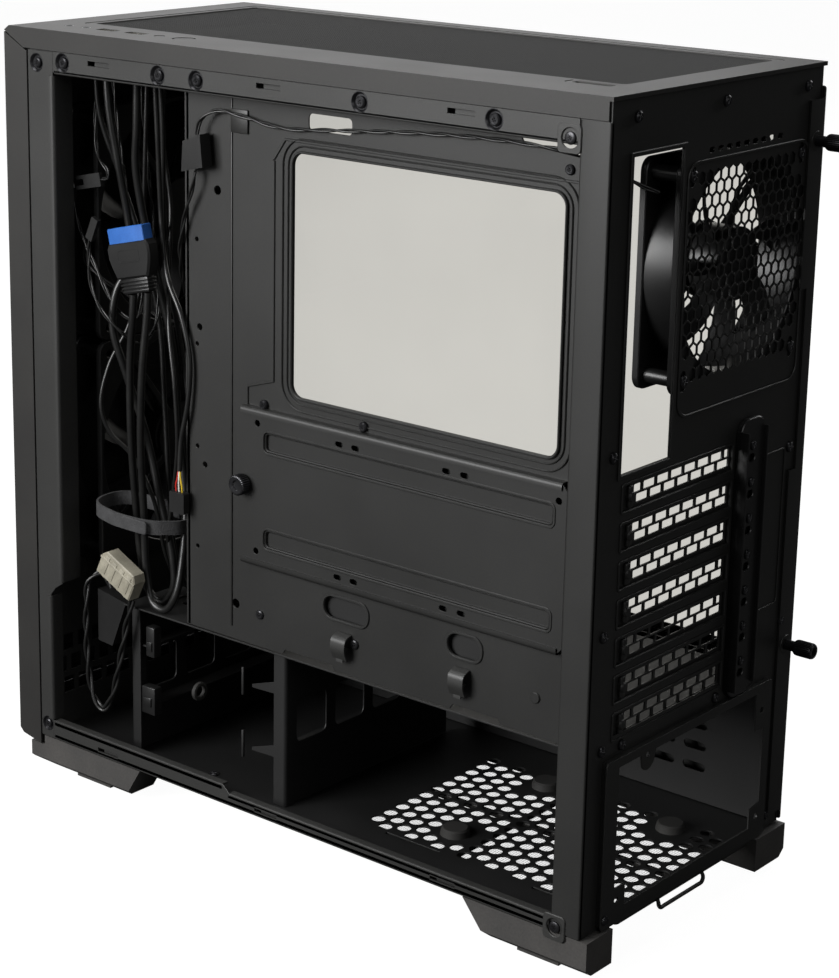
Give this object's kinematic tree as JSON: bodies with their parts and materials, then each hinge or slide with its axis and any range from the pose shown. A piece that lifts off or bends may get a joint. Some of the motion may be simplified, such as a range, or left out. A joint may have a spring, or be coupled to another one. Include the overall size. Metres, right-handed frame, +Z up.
{
  "type": "desktop computer tower",
  "caption": "Empty mid-tower computer case with its right-hand cover off: steel chassis, plastic cap and front, windowed left cover, fans, filters and bundled front-panel leads.",
  "frame": {"origin": "centre of the outer box on the surface it stands on", "axes": "+X towards the open right-hand side, +Y towards the rear panel, +Z up"},
  "size_m": [0.199, 0.444, 0.459],
  "materials": {
    "coated_steel": "fine satin powder coat",
    "shell_plastic": "fine spark-eroded texture",
    "black_plastic": "satin",
    "filter_mesh": "fine woven mesh in a moulded frame",
    "plated_steel": "nickel plated",
    "blue_plastic": "semi-gloss",
    "cream_plastic": "satin nylon",
    "clear_pane": "polished, lightly tinted",
    "circuit_board": "solder mask",
    "strap_cloth": "brushed loop pile"
  },
  "bodies": {
    "chassis": {"chassis_top": "coated_steel", "chassis_bottom": "coated_steel", "chassis_front": "coated_steel", "rear_panel": "coated_steel", "board_tray": "coated_steel", "supply_shroud": "coated_steel", "disk_cage": "coated_steel", "slot_cover_1": "coated_steel", "slot_cover_2": "coated_steel", "slot_cover_3": "coated_steel", "slot_cover_4": "coated_steel", "slot_cover_5": "coated_steel", "slot_cover_6": "coated_steel", "slot_cover_7": "coated_steel", "top_cap": "shell_plastic", "rear_foot_right": "shell_plastic", "front_foot_right": "shell_plastic", "rear_foot_left": "shell_plastic", "front_foot_left": "shell_plastic", "slot_bar": "black_plastic", "rear_fan_frame": "black_plastic", "front_fan_frame_1": "black_plastic", "front_fan_frame_2": "black_plastic", "audio_jacks": "black_plastic", "audio_plug": "black_plastic", "led_plug": "black_plastic", "reset_plug": "black_plastic", "fan_hub_plug": "black_plastic", "power_socket": "black_plastic", "usb_lead_1": "black_plastic", "usb_lead_2": "black_plastic", "audio_lead": "black_plastic", "switch_lead": "black_plastic", "led_lead": "black_plastic", "reset_lead": "black_plastic", "fan_lead": "black_plastic", "rear_fan_lead": "black_plastic", "power_lead": "black_plastic", "usb_port_1": "plated_steel", "usb_port_2": "plated_steel", "usb_plug": "blue_plastic", "power_plug": "cream_plastic", "switch_plug": "cream_plastic", "port_board": "circuit_board", "cable_strap": "strap_cloth"},
    "rear_fan_rotor": {"rear_fan_rotor": "black_plastic"},
    "front_fan_rotor_1": {"front_fan_rotor_1": "black_plastic"},
    "front_fan_rotor_2": {"front_fan_rotor_2": "black_plastic"},
    "power_button": {"power_button": "black_plastic"},
    "reset_button": {"reset_button": "black_plastic"},
    "top_filter": {"top_filter": "filter_mesh"},
    "supply_filter": {"supply_filter": "filter_mesh"},
    "front_cover": {"front_bezel": "shell_plastic", "front_mesh": "filter_mesh"},
    "left_cover": {"left_cover": "coated_steel", "left_window": "clear_pane"},
    "cover_screw_1": {"cover_thumbscrew_1": "black_plastic"},
    "cover_screw_2": {"cover_thumbscrew_2": "black_plastic"},
    "disk_plate": {"disk_plate": "coated_steel"},
    "disk_plate_screw": {"disk_plate_thumbscrew": "black_plastic"}
  },
  "joints": [
    {"name": "rear_fan_spin", "type": "hinge", "parent": "chassis", "child": "rear_fan_rotor", "pos_m": [-0.0267, 0.1895, 0.36], "axis": [0, 1, 0], "continuous": true},
    {"name": "front_fan_spin_1", "type": "hinge", "parent": "chassis", "child": "front_fan_rotor_1", "pos_m": [0, -0.1905, 0.202], "axis": [0, 1, 0], "continuous": true},
    {"name": "front_fan_spin_2", "type": "hinge", "parent": "chassis", "child": "front_fan_rotor_2", "pos_m": [0, -0.1905, 0.3426], "axis": [0, 1, 0], "continuous": true},
    {"name": "power_press", "type": "slide", "parent": "chassis", "child": "power_button", "axis": [0, 0, -1], "range_m": [0, 0.0016], "stiffness_N_per_m": 400},
    {"name": "reset_press", "type": "slide", "parent": "chassis", "child": "reset_button", "axis": [0, 0, -1], "range_m": [0, 0.0016], "stiffness_N_per_m": 400},
    {"name": "top_filter_lift", "type": "slide", "parent": "chassis", "child": "top_filter", "axis": [0, 0, 1], "range_m": [0, 0.03]},
    {"name": "supply_filter_slide", "type": "slide", "parent": "chassis", "child": "supply_filter", "axis": [0, 1, 0], "range_m": [0, 0.18]},
    {"name": "front_cover_pull", "type": "slide", "parent": "chassis", "child": "front_cover", "axis": [0, -1, 0], "range_m": [0, 0.05]},
    {"name": "left_cover_slide", "type": "slide", "parent": "chassis", "child": "left_cover", "axis": [0, 1, 0], "range_m": [0, 0.012]},
    {"name": "cover_screw_turn_1", "type": "hinge", "parent": "left_cover", "child": "cover_screw_1", "pos_m": [-0.092, 0.21, 0.4175], "axis": [0, 1, 0], "continuous": true},
    {"name": "cover_screw_turn_2", "type": "hinge", "parent": "left_cover", "child": "cover_screw_2", "pos_m": [-0.092, 0.21, 0.1336], "axis": [0, 1, 0], "continuous": true},
    {"name": "disk_plate_lift", "type": "slide", "parent": "chassis", "child": "disk_plate", "axis": [1, 0, 0], "range_m": [0, 0.03]},
    {"name": "disk_plate_screw_turn", "type": "hinge", "parent": "disk_plate", "child": "disk_plate_screw", "pos_m": [0.09, -0.043, 0.217], "axis": [1, 0, 0], "continuous": true}
  ]
}
